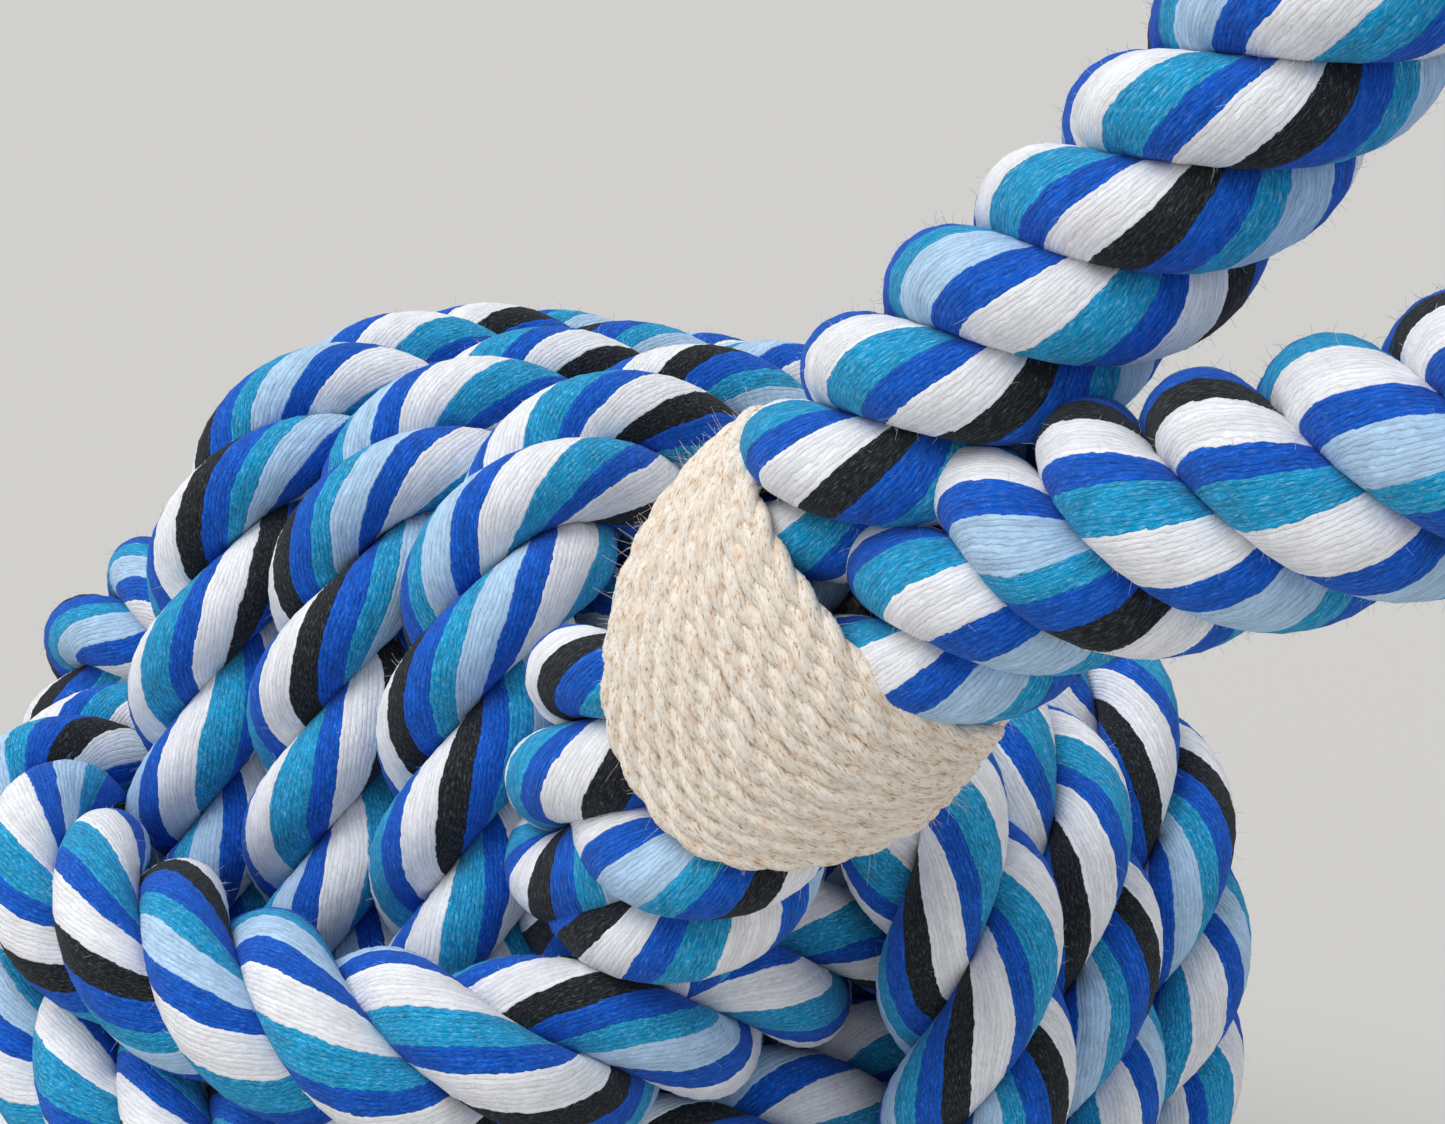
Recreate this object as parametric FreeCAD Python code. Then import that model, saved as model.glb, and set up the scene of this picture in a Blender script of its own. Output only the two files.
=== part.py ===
"""Rope ball with a loop handle: a three-band monkey's fist tied from thick laid cotton rope.

Frame: millimetres, +Z up. The origin is on the floor under the middle of the ball. The ball
stands on its lowest rope turns, and the handle leaves the corner between +X, -Y and +Z.

Ball: three bands of turns, each at right angles to the others, round a solid core ball.
  top turns    run over the top and the bottom, in planes of constant x
  front turns  run over the front and the back, in planes of constant z
  side turns   run over the right and the left, in planes of constant y
Each band lies outermost on two faces and dives under the next band on two others. A band is one
length of rope, which steps to its next turn in a pass that the next band covers.

Handle: a harder-laid, thicker rope, doubled into a loop. Its two legs are squeezed side by side
by a barrel-shaped whipping of twine, and it flexes at the neck, where it enters the ball.
"""
import FreeCAD, Part
import math
import os

# ---- driving dimensions -------------------------------------------------------------------
ROPE_D = 20.0             # laid diameter of the ball's rope
TURNS = 3                 # turns in each band
TURN_R = 0.455 * ROPE_D   # rope radius where it is pressed between its neighbours
TURN_PITCH = 1.03 * ROPE_D
LONG = 3.40 * ROPE_D      # ball centre to the rope's middle on an outer pass
SHORT = 2.25 * ROPE_D     # ball centre to the rope's middle on an inner pass
OUTER_HALF = 1.52 * ROPE_D   # half length of the straight part of an outer pass
INNER_HALF = 2.05 * ROPE_D   # half length of the straight part of an inner pass
LEAD_IN = (1.40 * ROPE_D, 1.82 * ROPE_D)  # long and short places where a band's rope dives inside
BASE_FLAT = 2.4           # how far the floor flattens the lowest turns
FRONT_SLOPE = 0.0875      # how fast the front turns climb towards -X
FRONT_LEVEL_AT = 15.0     # place along X where they start to climb
TOP_CREST = 4.0           # how far the top turns stand up over their -Y edge
SIDE_CREST = 4.0          # how far the side turns stand out at the ball's -X upper edge

CORE_R = 34.5             # solid ball in the middle of the knot

HANDLE_R = 11.5           # handle rope where it is free
NECK_R = 8.0              # handle rope where the whipping squeezes it
NECK_SPACING = 16.4       # between the two legs inside the whipping
NECK_FOOT = (50.8, -44.4, 49.2)      # middle of the neck where it flexes, from the ball's centre
NECK_AXIS = (0.709, 0.022, 0.705)    # the way the neck points
LEG_TO_LEG = (0.705, 0.010, -0.709)  # from the upper leg to the lower one
NECK_LENGTH = 31.0        # from the flexing point to where the legs leave the whipping
FLEX_GAP = 0.4            # clearance between a leg's rounded end and its root

WHIP_START = 3.0          # from the flexing point to the whipping's first turn
WHIP_LENGTH = 28.0
TWINE_D = 2.0
WHIP_BULGE = 1.2          # extra twine round the middle of the whipping

ROOT_R = 7.5              # a leg's tucked end where it flexes
ROOT_TIP_R = 4.5          # and where the turns grip it
ROOT_TIP_SPACING = 10.0
ROOT_TIP = (43.5, -38.5, 37.0)       # middle between the two tucked ends, from the ball's centre

# The loop beyond the whipping, from the upper leg to the lower one, from the ball's centre.
LOOP_POINTS = [
    (93.0, -39.5, 101.5),
    (106.5, -37.5, 117.0),
    (131.0, -30.0, 148.0),
    (157.0, -21.0, 185.0),
    (186.0, -18.0, 192.0),
    (212.5, -20.5, 176.0),
    (221.0, -26.5, 147.0),
    (206.0, -32.5, 121.0),
    (162.5, -37.5, 107.0),
    (126.5, -42.5, 89.0),
    (102.0, -45.5, 79.5),
]
LOOP_SPLITS = (3, 10)     # runs of the loop in whose middles the legs meet the bight
STRAIGHT_OUT = 15.0       # from the whipping's rim to the corner of each leg's first bend
ARC_SHARE = 0.45          # share of the shorter run that a bend takes up

Vec = FreeCAD.Vector
CENTRE = Vec(0, 0, LONG + TURN_R - BASE_FLAT)
os.makedirs("parts", exist_ok=True)
X, Y, Z = 0, 1, 2


# ---- rope tubes ----------------------------------------------------------------------------
def path_edges(points, name=None):
    """Straight runs joined by tangent arcs; prints the arcs' radii for a named path."""
    edges = []
    radii = []
    here = points[0]
    for before, corner, after in zip(points, points[1:], points[2:]):
        back = before - corner
        ahead = after - corner
        reach = ARC_SHARE * min(back.Length, ahead.Length)
        half_turn = (math.pi - back.getAngle(ahead)) / 2
        radius = reach / math.tan(half_turn)
        back.normalize()
        ahead.normalize()
        arc_start = corner + back * reach
        arc_end = corner + ahead * reach
        to_centre = (back + ahead).normalize()
        sagitta = radius / math.cos(half_turn) - radius
        edges.append(Part.LineSegment(here, arc_start).toShape())
        edges.append(Part.Arc(arc_start, corner + to_centre * sagitta, arc_end).toShape())
        radii.append(radius)
        here = arc_end
    edges.append(Part.LineSegment(here, points[-1]).toShape())
    if name:
        print(name, "bend radii", [round(r, 1) for r in radii])
    return edges


def rope_tube(points, radius, name=None):
    """A round rope whose middle follows the points, and a check of its volume."""
    path = Part.Wire(path_edges(points, name))
    tangent = points[1] - points[0]
    section = Part.Wire(Part.makeCircle(radius, points[0], tangent))
    tube = path.makePipeShell([section], True, False)
    expected = math.pi * radius ** 2 * path.Length
    if not tube.isValid() or abs(tube.Volume / expected - 1) > 0.01:
        raise ValueError("bad tube %s: %.0f against %.0f mm3" % (name, tube.Volume, expected))
    if name:
        print(name, "length %.0f mm" % path.Length)
    return tube


def save(shape, node):
    solids = shape.Solids
    if not shape.isValid() or not solids:
        raise ValueError("bad shape " + node)
    out = solids[0] if len(solids) == 1 else Part.makeCompound(solids)
    out.exportStep("parts/%s.step" % node)
    print("%-20s %8.1f mm3" % (node, out.Volume))


# ---- the ball ------------------------------------------------------------------------------
def band_point(axes, along_long, along_short, across):
    """A point from its places along a band's long, short and stacking directions."""
    long_axis, short_axis, stack_axis = axes
    place = [0.0, 0.0, 0.0]
    place[long_axis] = along_long
    place[short_axis] = along_short
    place[stack_axis] = across
    return Vec(*place) + CENTRE


def turn_points(axes, index, hidden, spread, crests):
    """One turn, from the middle of a covered pass round to the middle of that pass again.

    hidden is +1 or -1, the end of the short direction where the rope steps to its next turn.
    spread moves the points beside the handle's corner: (long sign, short sign, distance).
    crests is how far the two outer passes stand out where they leave the open short side.
    """
    across = (index - (TURNS - 1) / 2) * TURN_PITCH
    lead_long, lead_short = LEAD_IN
    start = (0, hidden * SHORT, across - TURN_PITCH / 2)
    end = (0, hidden * SHORT, across + TURN_PITCH / 2)
    if index == 0:
        start = (lead_long, hidden * lead_short, across)
    if index == TURNS - 1:
        end = (-lead_long, hidden * lead_short, across)
    corner_long, corner_short, push = spread
    near_crest, far_crest = crests
    outline = [
        (INNER_HALF, hidden * SHORT),
        (LONG, hidden * OUTER_HALF),
        (LONG + near_crest, -hidden * OUTER_HALF),
        (INNER_HALF, -hidden * SHORT),
        (-INNER_HALF, -hidden * SHORT),
        (-LONG - far_crest, -hidden * OUTER_HALF),
        (-LONG, hidden * OUTER_HALF),
        (-INNER_HALF, hidden * SHORT),
    ]
    points = [band_point(axes, *start)]
    for along_long, along_short in outline:
        beside_corner = along_long * corner_long > 0 and along_short * corner_short > 0
        shift = push if beside_corner else 0.0
        points.append(band_point(axes, along_long, along_short, across + shift))
    points.append(band_point(axes, *end))
    return points


# Each band: its long, short and stacking axes, the covered side where it steps, the side of the
# handle's corner along its long and short axes, how far the corner pushes its turns aside, and
# its two crests.
BANDS = {
    "top_turn": ((Z, Y, X), +1, (+1, -1), (0.0, -0.05, -0.10), (TOP_CREST, 0.0)),
    "front_turn": ((Y, X, Z), -1, (-1, +1), (-0.10, -0.17, -0.27), (0.0, 0.0)),
    "side_turn": ((X, Z, Y), -1, (+1, +1), (0.27, 0.17, 0.10), (0.0, SIDE_CREST)),
}


def climb(point):
    """The front turns aren't quite level: they climb towards -X."""
    return point + Vec(0, 0, FRONT_SLOPE * max(0.0, FRONT_LEVEL_AT - point.x))


def base_cut():
    side = 10 * ROPE_D
    return Part.makeBox(side, side, side, Vec(-side / 2, -side / 2, -side))


def build_ball():
    turns = {}
    for name, (axes, hidden, corner, pushes, crests) in BANDS.items():
        for index in range(TURNS):
            spread = (corner[0], corner[1], pushes[index] * ROPE_D)
            points = turn_points(axes, index, hidden, spread, crests)
            if name == "front_turn":
                points = [climb(point) for point in points]
            tube = rope_tube(points, TURN_R)
            if name == "top_turn":
                tube = tube.cut(base_cut())
            turns["%s_%d" % (name, index + 1)] = tube
    for node, tube in turns.items():
        save(tube, node)
    core = Part.makeSphere(CORE_R, CENTRE)
    save(core, "core_ball")


# ---- the handle ----------------------------------------------------------------------------
def neck_frame():
    """The neck's direction, the direction from leg to leg, and the one across both."""
    along = Vec(*NECK_AXIS).normalize()
    side = Vec(*LEG_TO_LEG)
    side = (side - along * side.dot(along)).normalize()
    return along, side, along.cross(side)


def neck_feet():
    """Where the upper and lower legs flex, on the hinge line."""
    _, side, _ = neck_frame()
    middle = CENTRE + Vec(*NECK_FOOT)
    return [middle - side * NECK_SPACING / 2, middle + side * NECK_SPACING / 2]


def build_roots():
    """The legs' tucked ends: cones gripped by the turns, cupped where the legs flex."""
    _, side, _ = neck_frame()
    tip_middle = CENTRE + Vec(*ROOT_TIP)
    for foot, sign, name in zip(neck_feet(), (-1, 1), ("upper", "lower")):
        tip = tip_middle + side * sign * ROOT_TIP_SPACING / 2
        down = foot - tip
        cone = Part.makeCone(ROOT_TIP_R, ROOT_R, down.Length, tip, down)
        cup = Part.makeSphere(NECK_R + FLEX_GAP, foot)
        save(cone.cut(cup), "leg_root_" + name)


def build_neck_and_loop():
    along, _, _ = neck_frame()
    feet = neck_feet()
    rims = [foot + along * NECK_LENGTH for foot in feet]
    for foot, name in zip(feet, ("upper", "lower")):
        shank = Part.makeCylinder(NECK_R, NECK_LENGTH, foot, along)
        save(shank.fuse(Part.makeSphere(NECK_R, foot)).removeSplitter(), "leg_neck_" + name)
    loop = [CENTRE + Vec(*p) for p in LOOP_POINTS]
    turn_up, turn_down = [rim + along * STRAIGHT_OUT for rim in rims]
    route = [rims[0], turn_up] + loop + [turn_down, rims[1]]
    first, second = LOOP_SPLITS
    meet_first = (route[first] + route[first + 1]) / 2
    meet_second = (route[second] + route[second + 1]) / 2
    leg_upper = route[:first + 1] + [meet_first]
    bight = [meet_first] + route[first + 1:second + 1] + [meet_second]
    leg_lower = [meet_second] + route[second + 1:]
    save(rope_tube(leg_upper, HANDLE_R, "leg_upper"), "leg_upper")
    save(rope_tube(bight, HANDLE_R, "handle_bight"), "handle_bight")
    save(rope_tube(leg_lower, HANDLE_R, "leg_lower"), "leg_lower")


def oval(middle, along, side, half_gap, radius):
    """A closed outline of two half circles joined by straight lines, round both legs."""
    across = along.cross(side)
    left = middle - side * half_gap
    right = middle + side * half_gap
    edges = [
        Part.LineSegment(left + across * radius, right + across * radius).toShape(),
        Part.Arc(right + across * radius, right + side * radius, right - across * radius).toShape(),
        Part.LineSegment(right - across * radius, left - across * radius).toShape(),
        Part.Arc(left - across * radius, left - side * radius, left + across * radius).toShape(),
    ]
    return Part.Wire(edges)


def build_whipping():
    """Twine wound round both legs: a barrel with a bore for each leg."""
    along, side, _ = neck_frame()
    middle = CENTRE + Vec(*NECK_FOOT) + along * WHIP_START
    rings = []
    for share, extra in ((0.0, 0.0), (0.5, WHIP_BULGE), (1.0, 0.0)):
        place = middle + along * WHIP_LENGTH * share
        rings.append(oval(place, along, side, NECK_SPACING / 2, NECK_R + TWINE_D + extra))
    barrel = Part.makeLoft(rings, True, False)
    for foot in neck_feet():
        barrel = barrel.cut(Part.makeCylinder(NECK_R, WHIP_LENGTH + 10, foot, along))
    save(barrel, "twine_whipping")


build_ball()
build_roots()
build_neck_and_loop()
build_whipping()
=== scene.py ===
"""Looks of the rope ball with a loop handle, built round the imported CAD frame.

Metres, +Z up, the same frame as the CAD. Every rope is three laid strands, each a closed tube
that follows the rope's smooth route, and each strand carries nine coloured stripes of yarn.
"""
import math

import bpy
import numpy as np
from mathutils import Matrix, Vector


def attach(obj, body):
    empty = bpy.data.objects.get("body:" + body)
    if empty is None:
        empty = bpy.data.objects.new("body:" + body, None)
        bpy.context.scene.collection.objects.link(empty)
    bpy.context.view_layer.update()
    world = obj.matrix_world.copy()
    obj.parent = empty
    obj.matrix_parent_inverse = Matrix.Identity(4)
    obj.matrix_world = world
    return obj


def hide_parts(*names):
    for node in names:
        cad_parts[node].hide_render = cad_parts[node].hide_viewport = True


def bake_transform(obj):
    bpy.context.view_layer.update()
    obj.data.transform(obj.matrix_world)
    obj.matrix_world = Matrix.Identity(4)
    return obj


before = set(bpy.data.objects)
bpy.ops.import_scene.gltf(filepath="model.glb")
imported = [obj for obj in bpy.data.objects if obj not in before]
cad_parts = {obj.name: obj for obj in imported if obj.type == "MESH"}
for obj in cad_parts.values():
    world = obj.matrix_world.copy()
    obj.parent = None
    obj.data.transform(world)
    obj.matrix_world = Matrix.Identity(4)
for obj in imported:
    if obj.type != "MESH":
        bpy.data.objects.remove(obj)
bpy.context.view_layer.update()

MM = 0.001

# ---- driving dimensions, repeated from the CAD source ---------------------------------------
ROPE_D = 0.020
TURNS = 3
TURN_R = 0.455 * ROPE_D
TURN_PITCH = 1.03 * ROPE_D
LONG = 3.40 * ROPE_D
SHORT = 2.25 * ROPE_D
OUTER_HALF = 1.52 * ROPE_D
INNER_HALF = 2.05 * ROPE_D
LEAD_IN = (1.40 * ROPE_D, 1.82 * ROPE_D)
BASE_FLAT = 0.0024
FRONT_SLOPE = 0.0875
FRONT_LEVEL_AT = 0.015
TOP_CREST = 0.0040
SIDE_CREST = 0.0040
CENTRE = np.array([0.0, 0.0, LONG + TURN_R - BASE_FLAT])

NECK_FOOT = np.array([0.0508, -0.0444, 0.0492])
NECK_AXIS = np.array([0.709, 0.022, 0.705])
LEG_TO_LEG = np.array([0.705, 0.010, -0.709])
NECK_SPACING = 0.0164
NECK_R = 0.0080
NECK_LENGTH = 0.031
STRAIGHT_OUT = 0.015
WHIP_START = 0.003
WHIP_LENGTH = 0.028
ROOT_TIP = np.array([0.0435, -0.0385, 0.0370])
ROOT_TIP_SPACING = 0.010

# The loop from the upper leg to the lower one, from the ball's centre.
LOOP_POINTS = [
    (0.0930, -0.0395, 0.1015),
    (0.1065, -0.0375, 0.1170),
    (0.1310, -0.0300, 0.1480),
    (0.1570, -0.0210, 0.1850),
    (0.1860, -0.0180, 0.1920),
    (0.2125, -0.0205, 0.1760),
    (0.2210, -0.0265, 0.1470),
    (0.2060, -0.0325, 0.1210),
    (0.1625, -0.0375, 0.1070),
    (0.1265, -0.0425, 0.0890),
    (0.1020, -0.0455, 0.0795),
]

# ---- what only the looks need -----------------------------------------------------------------
STRANDS = 3
STRIPES = 9                # colours of yarn round one strand
BALL_LOOK_R = 0.0104       # a little over the CAD tube, so that turns press on each other
BALL_LAY = 0.045           # length of rope for one whole turn of a strand
HANDLE_LOOK_R = 0.0118
NECK_LOOK_R = 0.0083       # squeezed by the whipping
ROOT_LOOK_R = 0.0128       # swelling out again between the whipping and the ball
HANDLE_LAY = 0.035
BALL_PERIOD = 0.0305       # strand length in which all nine stripes pass
HANDLE_PERIOD = 0.0285
BALL_YARN_TURN = 262.0     # how fast the yarns go round the strand, radians a metre
HANDLE_YARN_TURN = 400.0
BALL_YARNS = 60            # yarns in the nine stripes
HANDLE_YARNS = 72
RING = 48                  # points round a strand
STEP = 0.0012              # between rings, along the ball's rope
HANDLE_STEP = 0.0009       # and along the handle's
TOP_SAG = 0.0025           # how far the top turns settle over their +Y edge

# A laid rope isn't perfect. These are how far it wanders, and over how many rings.
STRAND_PRESS = 0.52        # strand radius over the gap between strands, so that they press together
TWIST_WANDER = (0.12, 60)  # radians
HELIX_WANDER = (0.020, 14)  # share of the helix radius
THICKNESS_WANDER = (0.030, 9)  # share of the strand radius
HELIX_SEED = 10            # added to a rope's seed for each kind of wandering
THICKNESS_SEED = 20
FUZZ_SEED = 50
STRIPE_STAGGER = 0.37      # how far the stripes of one strand lag behind the last strand's
STRIPE_CHANCE = 0.25       # and how much of that is chance
STRIPE_SWELL = 0.035       # share of the radius by which a stripe stands over its edges
STRIPE_SWELL_EASE = 0.6
STRIPE_SWELL_MEAN = 0.7
LAY_SAMPLES = 401          # heights at which the gap between two strands is measured
LAY_HALVINGS = 40
FLOOR_REACH = 0.006        # height below which the floor presses the rope flat
FLOOR_SOFTNESS = 0.0008

# Stray fibres: thin prisms that start a little below the surface.
FIBRE_RIBS = 3
FIBRE_SUNK = 0.0002
FIBRE_OUTWARD = 0.45       # how much a fibre's first direction follows the surface's
FIBRE_SCATTER = 0.6        # and how much is chance
FIBRE_RISE = 0.12          # how much it turns outwards from rib to rib
FIBRE_CURL = 0.33
FIBRE_TIP = 0.55           # thickness of its tip over its root's
FUZZ_HALF_ANGLE = 1.25     # fibres leave a strand this far round from its outer side
FUZZ_COLUMNS = 24
FUZZ_REACH = (0.0005, 0.0018)
FUZZ_R = 0.000015
TWINE_LAY_LENGTH = 900.0   # millimetres of twine that the whipping's loose fibres are drawn from
BALL_SEED = 101
BAND_SEED = 13             # added for each band
BALL_PHASE = 0.7           # where a band's twist starts, in radians for each 1 of its seed
BALL_FIBRES = 16000        # on each band
HANDLE_SEED = 301
HANDLE_PHASE = 0.4
HANDLE_FIBRES = 20000


# ---- routes and frames ------------------------------------------------------------------------
def smooth_path(points, step=STEP):
    """Evenly spaced points along the NURBS spline that has these control points."""
    curve = bpy.data.curves.new("route", "CURVE")
    curve.dimensions = "3D"
    spline = curve.splines.new("NURBS")
    spline.points.add(len(points) - 1)
    for control, place in zip(spline.points, points):
        control.co = (*place, 1.0)
    spline.order_u = 3
    spline.use_endpoint_u = True
    spline.resolution_u = 48
    holder = bpy.data.objects.new("route", curve)
    bpy.context.scene.collection.objects.link(holder)
    line = bpy.data.meshes.new_from_object(holder)
    found = np.array([v.co for v in line.vertices], float)
    bpy.data.objects.remove(holder)
    bpy.data.curves.remove(curve)
    bpy.data.meshes.remove(line)
    return evenly(found, step)


def lengths_along(line):
    shade_and_blotch_stops = np.linalg.norm(np.diff(line, axis=0), axis=1)
    return np.concatenate([[0.0], np.cumsum(shade_and_blotch_stops)])


def evenly(line, step):
    along = lengths_along(line)
    count = max(2, int(round(along[-1] / step)) + 1)
    wanted = np.linspace(0.0, along[-1], count)
    return np.column_stack([np.interp(wanted, along, line[:, axis]) for axis in range(3)])


def unit(vectors):
    return vectors / np.linalg.norm(vectors, axis=-1, keepdims=True)


def tangents_of(line):
    return unit(np.gradient(line, axis=0))


def turning_frames(line):
    """Tangents and two cross directions that don't spin about the line."""
    tangents = tangents_of(line)
    helper = np.eye(3)[np.argmin(np.abs(tangents[0]))]
    normal = unit(np.cross(tangents[0], helper))
    normals = [normal]
    for tangent in tangents[1:]:
        normal = unit(normal - tangent * (normal @ tangent))
        normals.append(normal)
    normals = np.array(normals)
    return tangents, normals, np.cross(tangents, normals)


def closest(line, place):
    return int(np.argmin(np.linalg.norm(line - place, axis=1)))


# ---- strands ----------------------------------------------------------------------------------
def strand_share(lay_over_radius):
    """Helix radius and strand radius of a three-strand rope of radius 1, as a pair."""
    heights = np.linspace(-0.5, 0.5, LAY_SAMPLES) * lay_over_radius
    low, high = 0.3, 0.9
    for _ in range(LAY_HALVINGS):
        helix = (low + high) / 2
        angle = 2 * math.pi / STRANDS + 2 * math.pi * heights / lay_over_radius
        gap = np.sqrt((helix * np.cos(angle) - helix) ** 2 + (helix * np.sin(angle)) ** 2 + heights ** 2)
        strand = STRAND_PRESS * gap.min()
        if helix + strand > 1.0:
            high = helix
        else:
            low = helix
    return helix, strand


def slow_noise(count, spacing, seed):
    """A smooth random wave from -1 to 1 with a knot every so many samples."""
    source = np.random.default_rng(seed)
    knots = source.uniform(-1.0, 1.0, count // spacing + 3)
    places = np.arange(count) / spacing
    whole = places.astype(int)
    part = places - whole
    ease = part * part * (3 - 2 * part)
    return knots[whole] * (1 - ease) + knots[whole + 1] * ease


def wander(count, amount_and_spacing, seed):
    amount, spacing = amount_and_spacing
    return amount * slow_noise(count, spacing, seed)


def lay_rope(line, radii, lay, period, yarn_turn, seed, phase):
    """The three strands of a rope: middle lines, outward directions, radii and stripe places."""
    helix_part, strand_part = strand_share(lay / float(np.median(radii)))
    count = len(line)
    along = lengths_along(line)
    _, normals, sides = turning_frames(line)
    twist = phase + 2 * math.pi * along / lay + wander(count, TWIST_WANDER, seed)
    strands = []
    for index in range(STRANDS):
        angle = twist + 2 * math.pi * index / STRANDS
        outward = np.cos(angle)[:, None] * normals + np.sin(angle)[:, None] * sides
        helix = radii * helix_part * (1 + wander(count, HELIX_WANDER, seed + HELIX_SEED + index))
        thickness = 1 + wander(count, THICKNESS_WANDER, seed + THICKNESS_SEED + index)
        middle = line + outward * helix[:, None]
        forward = tangents_of(middle)
        crown = unit(outward - forward * np.sum(outward * forward, axis=1, keepdims=True))
        chance = np.random.default_rng(seed + index).uniform(0, STRIPE_CHANCE)
        strands.append({
            "middle": middle,
            "crown": crown,
            "side": np.cross(forward, crown),
            "radius": radii * strand_part * thickness,
            "length": lengths_along(middle),
            "stripe_start": index * STRIPE_STAGGER + chance,
            "period": period,
            "yarn_turn": yarn_turn,
        })
    return strands


def stripe_place(strand, rows, angles):
    """Where each point lies in the nine stripes; a whole number is the first stripe's edge."""
    length = strand["length"][rows][:, None]
    around = angles[None, :] / (strand["yarn_turn"] * strand["period"])
    return length / strand["period"] + around + strand["stripe_start"]


def closed_tube(points, corners, caps):
    """A surface from rings of points. corners has one column more than a ring has points."""
    count, ring = points.shape[:2]
    grid = np.arange(count * ring).reshape(count, ring)
    right = np.roll(grid, -1, axis=1)
    quads = np.stack([grid[:-1], right[:-1], right[1:], grid[1:]], axis=-1).reshape(-1, 4)
    quad_corners = np.stack(
        [corners[:-1, :-1], corners[:-1, 1:], corners[1:, 1:], corners[1:, :-1]], axis=2
    ).reshape(-1, 2)
    faces = np.concatenate([quads.ravel(), grid[0][::-1], grid[-1]])
    sizes = np.concatenate([np.full(len(quads), 4), [ring, ring]])
    return points.reshape(-1, 3), faces, sizes, np.concatenate([quad_corners, caps])


def ring_points(middle, radius, angles, crown, side):
    """The points of a tube: radius is one column, or one value for each angle."""
    return (
        middle[:, None, :]
        + (radius * np.cos(angles))[:, :, None] * crown[:, None, :]
        + (radius * np.sin(angles))[:, :, None] * side[:, None, :]
    )


def strand_surface(strand, first, last):
    """Points, faces, face sizes and lay coordinates of one strand from row first to row last."""
    rows = np.arange(first, last + 1)
    edges = -math.pi + 2 * math.pi * np.arange(RING + 1) / RING
    place = stripe_place(strand, rows, edges)
    swell = np.abs(np.sin(math.pi * STRIPES * place[:, :-1])) ** STRIPE_SWELL_EASE
    radius = strand["radius"][rows][:, None] * (1 + STRIPE_SWELL * (swell - STRIPE_SWELL_MEAN))
    middle, crown, side = (strand[key][rows] for key in ("middle", "crown", "side"))
    points = ring_points(middle, radius, edges[:-1], crown, side)
    lengths = np.repeat((strand["length"][rows] / MM)[:, None], RING + 1, axis=1)
    corners = np.stack([place, lengths], axis=-1)
    caps = np.concatenate([corners[0, :-1][::-1], corners[-1, :-1]])
    return closed_tube(points, corners, caps)


def joined(parts):
    """Several (points, faces, sizes, corners) as one."""
    offset = 0
    points, faces, sizes, corners = [], [], [], []
    for part_points, part_faces, part_sizes, part_corners in parts:
        points.append(part_points)
        faces.append(part_faces + offset)
        sizes.append(part_sizes)
        corners.append(part_corners)
        offset += len(part_points)
    return tuple(np.concatenate(group) for group in (points, faces, sizes, corners))


def mesh_piece(name, surface, material):
    """A Blender object from points, faces, face sizes and lay coordinates."""
    points, faces, sizes, corners = surface
    mesh = bpy.data.meshes.new(name)
    mesh.vertices.add(len(points))
    mesh.vertices.foreach_set("co", points.astype(np.float32).ravel())
    mesh.loops.add(len(faces))
    mesh.loops.foreach_set("vertex_index", faces.astype(np.int32))
    mesh.polygons.add(len(sizes))
    starts = np.concatenate([[0], np.cumsum(sizes)[:-1]])
    mesh.polygons.foreach_set("loop_start", starts.astype(np.int32))
    mesh.polygons.foreach_set("use_smooth", np.ones(len(sizes), bool))
    lay = mesh.uv_layers.new(name="lay")
    lay.data.foreach_set("uv", corners.astype(np.float32).ravel())
    mesh.update(calc_edges=True)
    mesh.validate()
    mesh.materials.append(material)
    piece = bpy.data.objects.new(name, mesh)
    bpy.context.scene.collection.objects.link(piece)
    return piece


def fibre_surface(places, outward, lay, count, reach, thickness, seed):
    """Stray fibres: thin three-sided prisms that leave random places and curl about.

    lay gives each place its lay coordinates; with None they are drawn at random.
    """
    source = np.random.default_rng(seed)
    picked = source.integers(0, len(places), count)
    normal = unit(outward[picked])
    heading = unit(normal * FIBRE_OUTWARD + source.normal(0.0, FIBRE_SCATTER, (count, 3)))
    length = source.uniform(*reach, (count, 1))
    spot = places[picked] - normal * FIBRE_SUNK
    spine = [spot]
    for _ in range(FIBRE_RIBS - 1):
        spot = spot + heading * length / (FIBRE_RIBS - 1)
        spine.append(spot)
        turned_by = source.normal(0.0, FIBRE_CURL, (count, 3))
        heading = unit(heading + normal * FIBRE_RISE + turned_by)
    spine = np.stack(spine, axis=1)
    chord = unit(spine[:, -1] - spine[:, 0])
    cross = unit(np.cross(chord, source.normal(0.0, 1.0, (count, 3))))
    other = np.cross(chord, cross)
    angles = 2 * math.pi * np.arange(3) / 3
    taper = thickness * np.linspace(1.0, FIBRE_TIP, FIBRE_RIBS)
    points = (
        spine[:, :, None, :]
        + taper[None, :, None, None] * np.cos(angles)[None, None, :, None] * cross[:, None, None, :]
        + taper[None, :, None, None] * np.sin(angles)[None, None, :, None] * other[:, None, None, :]
    )
    one = np.arange(FIBRE_RIBS * 3).reshape(FIBRE_RIBS, 3)
    turned = np.roll(one, -1, axis=1)
    quads = np.stack([one[:-1], turned[:-1], turned[1:], one[1:]], axis=-1).reshape(-1)
    pattern = np.concatenate([quads, one[0][::-1], one[-1]])
    faces = (pattern[None, :] + FIBRE_RIBS * 3 * np.arange(count)[:, None]).reshape(-1)
    sizes = np.tile(np.concatenate([np.full((FIBRE_RIBS - 1) * 3, 4), [3, 3]]), count)
    if lay is None:
        around = source.uniform(0.0, 1.0, len(places))
        along = source.uniform(0.0, TWINE_LAY_LENGTH, len(places))
        lay = np.stack([around, along], axis=1)
    corners = np.repeat(lay[picked], len(pattern), axis=0)
    return points.reshape(-1, 3), faces, sizes, corners


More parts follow.
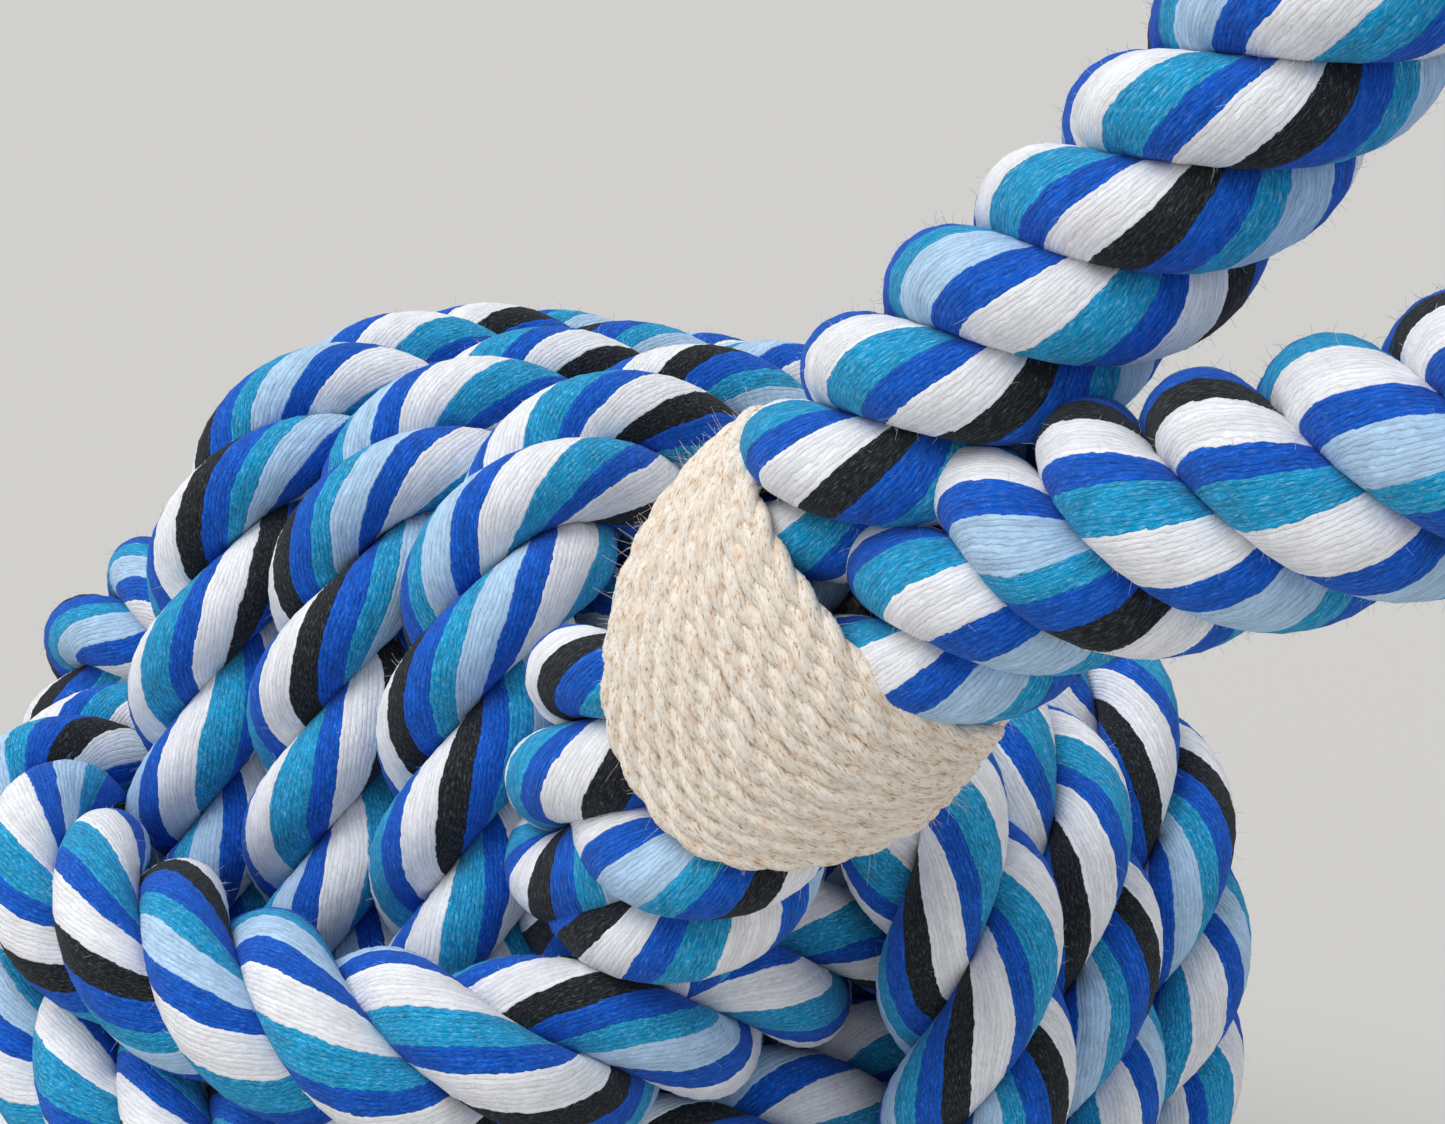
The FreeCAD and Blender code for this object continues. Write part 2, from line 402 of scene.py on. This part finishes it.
def strand_fuzz(name, strands, first, last, count, material, seed):
    """Stray fibres over the outer side of a rope's strands, in the colour of their yarn."""
    places, outward, lay = [], [], []
    rows = np.arange(first, last + 1)
    angles = np.linspace(-FUZZ_HALF_ANGLE, FUZZ_HALF_ANGLE, FUZZ_COLUMNS)
    for strand in strands:
        normal = (
            np.cos(angles)[None, :, None] * strand["crown"][rows][:, None, :]
            + np.sin(angles)[None, :, None] * strand["side"][rows][:, None, :]
        )
        surface = strand["middle"][rows][:, None, :] + strand["radius"][rows][:, None, None] * normal
        length = np.repeat((strand["length"][rows] / MM)[:, None], len(angles), axis=1)
        places.append(surface.reshape(-1, 3))
        outward.append(normal.reshape(-1, 3))
        lay.append(np.stack([stripe_place(strand, rows, angles), length], axis=-1).reshape(-1, 2))
    places, outward, lay = (np.concatenate(group) for group in (places, outward, lay))
    surface = fibre_surface(places, outward, lay, count, FUZZ_REACH, FUZZ_R, seed)
    keep_above_floor(surface[0])
    return mesh_piece(name, surface, material)


def rope_piece(name, strands, first, last, material):
    """One visible piece of rope: its strands from row first to row last."""
    surface = joined([strand_surface(strand, first, last) for strand in strands])
    keep_above_floor(surface[0])
    return mesh_piece(name, surface, material)


def keep_above_floor(points):
    """Presses what would reach below the floor flat against it."""
    low = points[:, 2] < FLOOR_REACH
    height = points[low, 2]
    points[low, 2] = (height + np.sqrt(height ** 2 + FLOOR_SOFTNESS ** 2)) / 2


# ---- materials --------------------------------------------------------------------------------
class Nodes:
    """Short ways to build one material's nodes."""

    def __init__(self, name):
        self.material = bpy.data.materials.new(name)
        self.material.use_nodes = True
        self.tree = self.material.node_tree
        self.shader = self.tree.nodes["Principled BSDF"]

    def node(self, kind, **settings):
        made = self.tree.nodes.new(kind)
        for key, value in settings.items():
            setattr(made, key, value)
        return made

    def put(self, target, value):
        if hasattr(value, "is_output"):
            self.tree.links.new(value, target)
        else:
            target.default_value = value

    def math(self, operation, *values):
        made = self.node("ShaderNodeMath", operation=operation)
        for target, value in zip(made.inputs, values):
            self.put(target, value)
        return made.outputs[0]

    def mix(self, factor, first, second, blend="MIX"):
        made = self.node("ShaderNodeMix", data_type="RGBA", blend_type=blend)
        self.put(made.inputs["Factor"], factor)
        self.put(made.inputs["A"], first)
        self.put(made.inputs["B"], second)
        return made.outputs["Result"]

    def noise(self, vector, scale, detail=2.0, roughness=0.5):
        made = self.node("ShaderNodeTexNoise")
        self.put(made.inputs["Vector"], vector)
        self.put(made.inputs["Scale"], scale)
        self.put(made.inputs["Detail"], detail)
        self.put(made.inputs["Roughness"], roughness)
        return made.outputs["Fac"]

    def vector(self, x, y, z=0.0):
        made = self.node("ShaderNodeCombineXYZ")
        for target, value in zip(made.inputs, (x, y, z)):
            self.put(target, value)
        return made.outputs[0]

    def times(self, value, factor):
        return self.math("MULTIPLY", value, factor)

    def stretched(self, x, x_scale, y, y_scale):
        """A noise position whose two directions have their own scales."""
        return self.vector(self.times(x, x_scale), self.times(y, y_scale))

    def lay(self):
        """The two lay coordinates: place in the stripes or round a ply, and millimetres along."""
        lay = self.node("ShaderNodeUVMap", uv_map="lay")
        split = self.node("ShaderNodeSeparateXYZ")
        self.put(split.inputs[0], lay.outputs[0])
        return split.outputs[0], split.outputs[1]

    def relief(self, height, strength, distance):
        bump = self.node("ShaderNodeBump")
        self.put(bump.inputs["Strength"], strength)
        self.put(bump.inputs["Distance"], distance)
        self.put(bump.inputs["Height"], height)
        self.put(self.shader.inputs["Normal"], bump.outputs[0])

    def shade(self, settings):
        for socket, value in settings.items():
            self.put(self.shader.inputs[socket], value)

    def span(self, value, low, high, to_low=0.0, to_high=1.0):
        made = self.node("ShaderNodeMapRange", clamp=True)
        for target, number in zip(made.inputs, (value, low, high, to_low, to_high)):
            self.put(target, number)
        return made.outputs[0]

    def ramp(self, value, stops, interpolation="CONSTANT"):
        made = self.node("ShaderNodeValToRGB")
        ramp = made.color_ramp
        ramp.interpolation = interpolation
        while len(ramp.elements) < len(stops):
            ramp.elements.new(0.5)
        for element, (place, colour) in zip(ramp.elements, stops):
            element.position = place
            element.color = colour
        self.put(made.inputs[0], value)
        return made.outputs["Color"]


def linear(red, green, blue):
    """A screen colour from 0 to 255 as linear light."""
    shares = [channel / 255 for channel in (red, green, blue)]
    return tuple((s / 12.92 if s <= 0.04045 else ((s + 0.055) / 1.055) ** 2.4) for s in shares) + (1.0,)


WHITE = linear(248, 248, 252)
BLACK = linear(30, 30, 34)
ROYAL = linear(0, 90, 202)
TEAL = linear(0, 156, 210)
PALE = linear(184, 216, 247)
# Each stripe's colour and width, how flecked it is, and how much painted shade darkens the gaps between
# its yarns, which also sets how deep its random blotches go.
STRIPE_ROW = [
    (BLACK, 0.95, 0.13, 0.9),
    (WHITE, 1.10, 0.10, 0.35),
    (ROYAL, 0.85, 0.13, 1.0),
    (TEAL, 1.20, 0.42, 0.9),
    (WHITE, 1.45, 0.10, 0.35),
    (ROYAL, 0.90, 0.13, 1.0),
    (PALE, 1.00, 0.40, 0.6),
    (TEAL, 0.85, 0.42, 0.9),
    (ROYAL, 0.90, 0.13, 1.0),
]
FLECK = linear(190, 226, 236)
STRIPE_DRIFT = 0.050        # how far the stripes wander, in turns of the nine stripes
EDGE_STRAY = 0.015          # how far single fibres stray over a stripe's edge
BLOTCH_DEPTH = 1.3
FUZZ_RELIEF = 1.6           # height of the fuzz over a yarn's own
HANDLE_PALE_WIDTH = 1.25    # the handle rope's pale stripe is wider


def cotton(name, yarns, row):
    """Striped cotton: each yarn has its stripe's colour, a rib of its own and loose fibres."""
    build = Nodes(name)
    place, length = build.lay()

    # The stripes wander, and single fibres stray over their edges.
    drift = build.noise(build.stretched(place, 6.0, length, 0.16), 1.0)
    place = build.math("MULTIPLY_ADD", drift, STRIPE_DRIFT, place)
    stray = build.noise(build.stretched(place, 90.0, length, 1.7), 1.0, detail=3.0)
    place = build.math("MULTIPLY_ADD", stray, EDGE_STRAY, place)

    # Each yarn takes the colour of the stripe that it lies in.
    yarn_place = build.times(place, float(yarns))
    yarn = build.math("FLOOR", yarn_place)
    within = build.math("FRACT", yarn_place)
    stripe = build.math("FRACT", build.math("DIVIDE", build.math("ADD", yarn, 0.5), float(yarns)))
    total = sum(width for _, width, _, _ in row)
    edge = 0.0
    colours, flecks, shade_and_blotch_stops = [], [], []
    for colour, width, fleck, gap in row:
        colours.append((edge / total, colour))
        flecks.append((edge / total, (fleck, fleck, fleck, 1.0)))
        shade_and_blotch_stops.append((edge / total, (gap, gap, gap, 1.0)))
        edge += width
    base = build.ramp(stripe, colours)
    # For each stripe: how much painted shade darkens its yarn gaps, and how deep its random blotches go.
    shade_and_blotch_share = build.ramp(stripe, shade_and_blotch_stops)

    # Pale flecks lie along the fibres.
    fibre_at = build.stretched(yarn_place, 1.9, length, 1.1)
    fibres = build.noise(fibre_at, 1.9, detail=5.0, roughness=0.72)
    fleck_factor = build.times(build.span(fibres, 0.50, 0.68), build.ramp(stripe, flecks))
    base = build.mix(fleck_factor, base, FLECK)

    # Light and dark: from yarn to yarn, along the fibres, and in blotches and patches.
    chance = build.node("ShaderNodeTexWhiteNoise", noise_dimensions="1D")
    build.put(chance.inputs["W"], yarn)
    tone = build.span(chance.outputs["Value"], 0.0, 1.0, 0.94, 1.07)
    tone = build.times(tone, build.span(fibres, 0.30, 0.66, 0.82, 1.12))
    blotch_at = build.stretched(yarn_place, 0.45, length, 0.55)
    blotches = build.noise(blotch_at, 1.3, detail=4.0, roughness=0.6)
    blotch_depth = build.times(shade_and_blotch_share, BLOTCH_DEPTH)
    uneven = build.math("MULTIPLY_ADD", build.math("SUBTRACT", blotches, 0.5), blotch_depth, 1.0)
    tone = build.times(tone, uneven)
    patches = build.noise(build.stretched(place, 9.0, length, 0.25), 1.0, detail=3.0)
    tone = build.times(tone, build.span(patches, 0.3, 0.7, 0.94, 1.05))

    # Painted shade: the gaps between yarns are darkened in patches, where they open and shade would fall
    # into them.
    hollow = build.math("ABSOLUTE", build.math("SUBTRACT", within, 0.5))
    groove_shade_mask = build.span(hollow, 0.30, 0.50)
    shade_patches = build.noise(build.vector(yarn, build.times(length, 0.35)), 1.7)
    gap_shade = build.times(build.span(shade_patches, 0.38, 0.76, 0.10, 0.85), shade_and_blotch_share)
    tone = build.times(tone, build.math("SUBTRACT", 1.0, build.times(groove_shade_mask, gap_shade)))
    # The tone, which includes the painted shade in the yarn gaps, darkens the base colour.
    base = build.mix(1.0, base, build.vector(tone, tone, tone), "MULTIPLY")

    # Relief: a round rib for each yarn, with fuzz over it.
    across_rib = build.math("POWER", build.times(hollow, 2.0), 2.0)
    rib = build.math("SQRT", build.math("SUBTRACT", 1.0, across_rib))
    fuzz = build.noise(build.stretched(yarn_place, 2.2, length, 1.6), 1.5, detail=5.0, roughness=0.7)
    height = build.math("MULTIPLY_ADD", fuzz, FUZZ_RELIEF, rib)
    build.relief(height, strength=0.58, distance=0.00020)
    build.shade({
        "Base Color": base,
        "Roughness": 0.92,
        "Specular IOR Level": 0.18,
        "Sheen Weight": 0.06,
        "Sheen Roughness": 0.50,
    })
    return build.material


def jute(name):
    """Natural twine: cream fibres with brown and orange flecks along each ply."""
    build = Nodes(name)
    around, length = build.lay()
    slant = build.math("MULTIPLY_ADD", length, 0.55, build.times(around, 9.0))
    fibres = build.noise(build.stretched(slant, 1.4, length, 0.7), 1.6, detail=5.0, roughness=0.65)
    broad = build.noise(build.vector(around, build.times(length, 0.22)), 1.2, detail=3.0)
    base = build.ramp(fibres, [
        (0.34, linear(180, 132, 94)),
        (0.42, linear(234, 215, 192)),
        (0.52, linear(250, 241, 228)),
        (0.70, linear(254, 250, 244)),
    ], "LINEAR")
    base = build.mix(build.span(broad, 0.52, 0.78, 0.0, 0.52), base, linear(216, 168, 126))
    build.relief(fibres, strength=0.8, distance=0.00018)
    build.shade({"Base Color": base, "Roughness": 0.9, "Specular IOR Level": 0.2, "Sheen Weight": 0.2})
    return build.material


def rubber(name):
    build = Nodes(name)
    place = build.node("ShaderNodeTexCoord").outputs["Object"]
    grain = build.noise(place, 900.0, detail=3.0)
    base = build.ramp(grain, [
        (0.3, (0.010, 0.010, 0.012, 1.0)),
        (0.7, (0.022, 0.022, 0.025, 1.0)),
    ], "LINEAR")
    build.relief(grain, strength=0.3, distance=0.0002)
    build.shade({"Base Color": base, "Roughness": 0.7})
    return build.material


def plain(name, colour, roughness):
    build = Nodes(name)
    build.shade({"Base Color": colour, "Roughness": roughness})
    return build.material


HANDLE_ROW = [
    (colour, HANDLE_PALE_WIDTH if colour == PALE else width, fleck, gap)
    for colour, width, fleck, gap in STRIPE_ROW
]
BALL_COTTON = cotton("ball_cotton", BALL_YARNS, STRIPE_ROW)
HANDLE_COTTON = cotton("handle_cotton", HANDLE_YARNS, HANDLE_ROW)
JUTE = jute("jute")
RUBBER = rubber("core_rubber")
for material_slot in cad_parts["core_ball"].material_slots:
    material_slot.material = RUBBER


# ---- the ball ---------------------------------------------------------------------------------
def band_point(axes, along_long, along_short, across):
    place = [0.0, 0.0, 0.0]
    for axis, value in zip(axes, (along_long, along_short, across)):
        place[axis] = value
    return np.array(place) + CENTRE


def turn_points(axes, index, hidden, spread, crests, sag):
    """One turn's route points, from the covered pass round to that pass again."""
    across = (index - (TURNS - 1) / 2) * TURN_PITCH
    lead_long, lead_short = LEAD_IN
    start = (0, hidden * SHORT, across - TURN_PITCH / 2)
    end = (0, hidden * SHORT, across + TURN_PITCH / 2)
    if index == 0:
        start = (lead_long, hidden * lead_short, across)
    if index == TURNS - 1:
        end = (-lead_long, hidden * lead_short, across)
    corner_long, corner_short, push = spread
    near_crest, far_crest = crests
    outline = [
        (INNER_HALF, hidden * SHORT),
        (LONG - sag, hidden * OUTER_HALF),
        (LONG + near_crest, -hidden * OUTER_HALF),
        (INNER_HALF, -hidden * SHORT),
        (-INNER_HALF, -hidden * SHORT),
        (-LONG - far_crest, -hidden * OUTER_HALF),
        (-LONG, hidden * OUTER_HALF),
        (-INNER_HALF, hidden * SHORT),
    ]
    points = [band_point(axes, *start)]
    for along_long, along_short in outline:
        beside_corner = along_long * corner_long > 0 and along_short * corner_short > 0
        shift = push if beside_corner else 0.0
        points.append(band_point(axes, along_long, along_short, across + shift))
    points.append(band_point(axes, *end))
    return points


X, Y, Z = 0, 1, 2
# Each band: its long, short and stacking axes, the covered side where it steps, the side of the
# handle's corner along its long and short axes, how far the corner pushes its turns, and its crests.
BANDS = {
    "top_turn": ((Z, Y, X), +1, (+1, -1), (0.0, -0.05, -0.10), (TOP_CREST, 0.0)),
    "front_turn": ((Y, X, Z), -1, (-1, +1), (-0.10, -0.17, -0.27), (0.0, 0.0)),
    "side_turn": ((X, Z, Y), -1, (+1, +1), (0.27, 0.17, 0.10), (0.0, SIDE_CREST)),
}


def build_band(name, seed):
    """One band: a single rope, cut into its three turns in the covered passes."""
    axes, hidden, corner, pushes, crests = BANDS[name]
    sag = TOP_SAG if name == "top_turn" else 0.0
    route = []
    joints = []
    for index in range(TURNS):
        spread = (corner[0], corner[1], pushes[index] * ROPE_D)
        points = turn_points(axes, index, hidden, spread, crests, sag)
        if name == "front_turn":
            for point in points:
                point[Z] += FRONT_SLOPE * max(0.0, FRONT_LEVEL_AT - point[X])
        if route:
            joints.append(points[0])
            points = points[1:]
        route += points
    line = smooth_path(route)
    radii = np.full(len(line), BALL_LOOK_R)
    strands = lay_rope(
        line, radii, BALL_LAY, BALL_PERIOD, BALL_YARN_TURN, seed, phase=seed * BALL_PHASE
    )
    cuts = [0] + [closest(line, place) for place in joints] + [len(line) - 1]
    for index, (first, last) in enumerate(zip(cuts, cuts[1:])):
        node = "%s_%d" % (name, index + 1)
        piece = rope_piece(node + "_rope", strands, first, last, BALL_COTTON)
        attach(piece, "ball")
        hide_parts(node)
    fuzz = strand_fuzz(
        name + "_fuzz", strands, 0, len(line) - 1, BALL_FIBRES, BALL_COTTON, seed + FUZZ_SEED
    )
    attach(fuzz, "ball")


for band_number, band_name in enumerate(BANDS):
    build_band(band_name, BALL_SEED + BAND_SEED * band_number)


# ---- the handle -------------------------------------------------------------------------------
ALONG = unit(NECK_AXIS)
SIDE = unit(LEG_TO_LEG - ALONG * (LEG_TO_LEG @ ALONG))
ACROSS = np.cross(ALONG, SIDE)
FOOT = CENTRE + NECK_FOOT
FEET = [FOOT - SIDE * NECK_SPACING / 2, FOOT + SIDE * NECK_SPACING / 2]
RIMS = [foot + ALONG * NECK_LENGTH for foot in FEET]
TIPS = [CENTRE + ROOT_TIP + SIDE * sign * ROOT_TIP_SPACING / 2 for sign in (-1, 1)]
SEAM = 0.010               # from the flexing point to where the roots end inside the whipping
# The roots lean towards the pocket's open side: the upper one's middle and end, then the lower one's end.
ROOT_LEANS = [np.array(lean) for lean in (
    (-0.0013, -0.0016, -0.0019),
    (-0.0010, -0.0036, -0.0085),
    (-0.0038, -0.0040, -0.0029),
)]
ROOT_DEPTH = 0.012         # how much further the roots' ends reach in towards the core
ROOT_END_R = 0.0112
EASE_SPAN = 9              # rings over which the handle's thickness changes are smoothed


def handle_radii(line):
    """Rope radius along the handle: full at the roots, squeezed by the whipping, then full again."""
    along = lengths_along(line)
    stations = [0.0]
    sizes = [ROOT_END_R]
    # Lengths from a leg's foot, and the rope's radius there.
    neck = [
        (-0.006, ROOT_LOOK_R),
        (WHIP_START + 0.004, NECK_LOOK_R),
        (NECK_LENGTH - 0.005, NECK_LOOK_R),
        (NECK_LENGTH + 0.004, HANDLE_LOOK_R),
    ]
    start = along[closest(line, FEET[0])]
    for offset, size in neck:
        stations.append(start + offset)
        sizes.append(size)
    end = along[closest(line, FEET[1])]
    for offset, size in reversed(neck):
        stations.append(end - offset)
        sizes.append(size)
    stations.append(along[-1])
    sizes.append(ROOT_END_R)
    rough = np.interp(along, stations, sizes)
    window = np.hanning(EASE_SPAN)
    padded = np.pad(rough, EASE_SPAN // 2, mode="edge")
    return np.convolve(padded, window / window.sum(), mode="valid")


def build_handle():
    """One rope from root to root, cut where the whipping hides it."""
    loop = [CENTRE + np.array(place) for place in LOOP_POINTS]
    turn_up, turn_down = [rim + ALONG * STRAIGHT_OUT for rim in RIMS]
    upper_bend = (TIPS[0] + FEET[0]) / 2 + ROOT_LEANS[0]
    ends = [TIPS[0] + ROOT_LEANS[1], TIPS[1] + ROOT_LEANS[2]]
    inside = [end - unit(end - CENTRE) * ROOT_DEPTH for end in ends]
    route = [inside[0], ends[0], upper_bend, FEET[0], RIMS[0], turn_up] + loop
    route += [turn_down, RIMS[1], FEET[1], ends[1], inside[1]]
    line = smooth_path(route, HANDLE_STEP)
    radii = handle_radii(line)
    strands = lay_rope(
        line, radii, HANDLE_LAY, -HANDLE_PERIOD, HANDLE_YARN_TURN, HANDLE_SEED, phase=HANDLE_PHASE
    )
    seams = [closest(line, foot + ALONG * SEAM) for foot in FEET]
    handle = rope_piece("handle_loop_rope", strands, seams[0], seams[1], HANDLE_COTTON)
    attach(handle, "handle")
    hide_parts("leg_neck_upper", "leg_neck_lower", "leg_upper", "handle_bight", "leg_lower")
    rims = [closest(line, rim) for rim in RIMS]
    fuzz = strand_fuzz(
        "handle_fuzz", strands, rims[0], rims[1], HANDLE_FIBRES, HANDLE_COTTON, HANDLE_SEED + FUZZ_SEED
    )
    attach(fuzz, "handle")
    for name, first, last, foot in (
        ("upper", 0, seams[0], FEET[0]),
        ("lower", seams[1], len(line) - 1, FEET[1]),
    ):
        root = rope_piece("root_%s_rope" % name, strands, first, last, HANDLE_COTTON)
        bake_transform(root)
        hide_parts("leg_root_" + name)


build_handle()


# ---- the whipping -----------------------------------------------------------------------------
TWINE_R = 0.00100
WHIP_TURNS = 17
WHIP_FACE = 0.0300         # how far the turns spread down the legs' faces
WHIP_EDGE = 0.0120         # and down the two edges, where they pile up
WHIP_SHIFT = 0.0030        # the lowest turns sit off to the lower leg's side
WHIP_PINCH = 0.16          # share of its width that the binding loses towards the ball
WHIP_STEPS = 200           # points to one turn of the route
WHIP_PILE = 0.0011         # every other turn rides up at the edges
WHIP_SWELL = 0.0016        # and the faces swell half way down
WHIP_WANDER = (0.00030, 45)
WHIP_SPREAD_EASE = 1.2     # how soon the turns start to spread, going round from an edge
WHIP_SWELL_EASE = 0.8
WHIP_PINCH_EASE = 1.5
WHIP_SIDE_EASE = 0.55      # how boxy the route is round the two legs
WHIP_FACE_CROWN = 0.10     # share by which the middle of a face stands out
WHIP_PILE_FROM = 0.25      # a turn's number changes this share of a turn before its end
TWINE_STEP = 0.0006        # between rings, along the twine
PLY_R = 0.00087
PLY_OFFSET = 0.00040       # from the twine's middle to a ply's
PLY_LAY = 0.0085
PLY_RING = 10              # points round a ply
PLY_SHIFT = 0.4            # metres from one ply's place in the fibre pattern to the other's
PLY_TWIST_WANDER = (0.9, 40)
PLY_THICKNESS_WANDER = (0.10, 11)
TWINE_FIBRES = 2600
TWINE_FIBRE_REACH = (0.0010, 0.0045)
TWINE_FIBRE_R = 0.000019
WHIP_SEED = 77
TWINE_FIBRE_SEED = 600


def whipping_route():
    """The twine's middle line: turns that fan out from one rim and pile up at the edges."""
    rim = FOOT + ALONG * (WHIP_START + WHIP_LENGTH - TWINE_R)
    steps = WHIP_STEPS * WHIP_TURNS
    share = np.linspace(0.0, 1.0, steps)
    angle = 2 * math.pi * WHIP_TURNS * share
    face = np.abs(np.sin(angle)) ** WHIP_SPREAD_EASE
    down = share * (WHIP_EDGE + (WHIP_FACE - WHIP_EDGE) * face)
    depth = down / WHIP_FACE
    turn = np.floor(WHIP_TURNS * share + WHIP_PILE_FROM)
    pile = (1 - face) * WHIP_PILE * (turn % 2)
    bulge = WHIP_SWELL * np.sin(math.pi * np.clip(depth, 0.0, 1.0)) ** WHIP_SWELL_EASE
    reach = NECK_R + TWINE_R + pile + bulge
    pinch = 1 - WHIP_PINCH * depth ** WHIP_PINCH_EASE
    half_gap = NECK_SPACING / 2 * pinch
    round_legs = np.sign(np.cos(angle)) * half_gap * np.abs(np.cos(angle)) ** WHIP_SIDE_EASE
    out_side = round_legs + reach * np.cos(angle)
    out_across = reach * np.sin(angle) * (1 + WHIP_FACE_CROWN * np.sin(angle) ** 2)
    drift = wander(steps, WHIP_WANDER, WHIP_SEED)
    return (
        rim
        + SIDE * (out_side + WHIP_SHIFT * depth ** WHIP_PINCH_EASE)[:, None]
        + ACROSS * out_across[:, None]
        - ALONG * (down + drift)[:, None]
    )


def ply_surface(middle, crown, side, radius, lengths):
    """Points, faces, face sizes and lay coordinates of one closed ply."""
    angles = 2 * math.pi * np.arange(PLY_RING) / PLY_RING
    points = ring_points(middle, radius[:, None], angles, crown, side)
    share = np.arange(PLY_RING + 1) / PLY_RING
    corners = np.stack(np.broadcast_arrays(share[None, :], (lengths / MM)[:, None]), axis=-1)
    caps = np.concatenate([corners[0, :-1], corners[-1, :-1]])
    return closed_tube(points, corners, caps)


def build_whipping():
    """Two-ply twine along the whipping's route, with its loose fibres."""
    line = evenly(whipping_route(), TWINE_STEP)
    along = lengths_along(line)
    _, normals, sides = turning_frames(line)
    twist = 2 * math.pi * along / PLY_LAY + wander(len(line), PLY_TWIST_WANDER, WHIP_SEED + 1)
    plies = []
    for index in range(2):
        angle = twist + math.pi * index
        outward = np.cos(angle)[:, None] * normals + np.sin(angle)[:, None] * sides
        middle = line + outward * PLY_OFFSET
        forward = tangents_of(middle)
        crown = unit(outward - forward * np.sum(outward * forward, axis=1, keepdims=True))
        radius = PLY_R * (1 + wander(len(line), PLY_THICKNESS_WANDER, WHIP_SEED + 2 + index))
        lengths = lengths_along(middle) + PLY_SHIFT * index
        plies.append(ply_surface(middle, crown, np.cross(forward, crown), radius, lengths))
    whipping = mesh_piece("whipping_twine", joined(plies), JUTE)
    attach(whipping, "handle")
    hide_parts("twine_whipping")
    outward = line - FOOT - ALONG * (WHIP_START + WHIP_LENGTH / 2)
    hairs = fibre_surface(
        line, outward, None, TWINE_FIBRES, TWINE_FIBRE_REACH, TWINE_FIBRE_R, TWINE_FIBRE_SEED
    )
    hair_piece = mesh_piece("whipping_fibres", hairs, JUTE)
    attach(hair_piece, "handle")


build_whipping()


# ---- camera, floor and light ------------------------------------------------------------------
VIEW = Vector((0.595, -0.761, 0.260)).normalized()      # from the ball towards the camera
RIGHT = Vector((0.788, 0.616, 0.0)).normalized()
UP = VIEW.cross(RIGHT).normalized()
CAMERA_AWAY = 0.360        # from the ball's centre
CAMERA_RIGHT = 0.0156
CAMERA_UP = 0.0480
FLOOR_HALF = 6.0


def build_camera():
    data = bpy.data.cameras.new("camera")
    data.sensor_width = 36.0
    data.lens = 71.2
    camera = bpy.data.objects.new("camera", data)
    place = Vector(CENTRE) + VIEW * CAMERA_AWAY + RIGHT * CAMERA_RIGHT + UP * CAMERA_UP
    turn = Matrix((RIGHT, UP, VIEW)).transposed().to_4x4()
    camera.matrix_world = Matrix.Translation(place) @ turn
    bpy.context.scene.collection.objects.link(camera)
    bpy.context.scene.camera = camera


def build_floor():
    mesh = bpy.data.meshes.new("floor")
    corners = [(FLOOR_HALF * x, FLOOR_HALF * y, 0) for x, y in ((-1, -1), (1, -1), (1, 1), (-1, 1))]
    mesh.from_pydata(corners, [], [(0, 1, 2, 3)])
    mesh.materials.append(plain("floor_paint", linear(201, 198, 194), 0.8))
    floor = bpy.data.objects.new("floor", mesh)
    bpy.context.scene.collection.objects.link(floor)


def sun(name, from_place, strength, spread, colour):
    data = bpy.data.lights.new(name, "SUN")
    data.energy = strength
    data.angle = spread
    data.color = colour
    lamp = bpy.data.objects.new(name, data)
    towards = RIGHT * from_place[0] + UP * from_place[1] + VIEW * from_place[2]
    lamp.rotation_euler = towards.to_track_quat("Z", "Y").to_euler()
    bpy.context.scene.collection.objects.link(lamp)


def build_light():
    world = bpy.data.worlds.new("studio")
    world.use_nodes = True
    background = world.node_tree.nodes["Background"]
    background.inputs["Color"].default_value = (0.93, 0.965, 1.0, 1.0)
    background.inputs["Strength"].default_value = 0.62
    bpy.context.scene.world = world
    sun("key", from_place=(-0.50, 0.80, 0.45), strength=1.88, spread=0.70, colour=(1.0, 0.995, 0.985))
    bpy.context.scene.view_settings.view_transform = "Standard"


build_camera()
build_floor()
build_light()
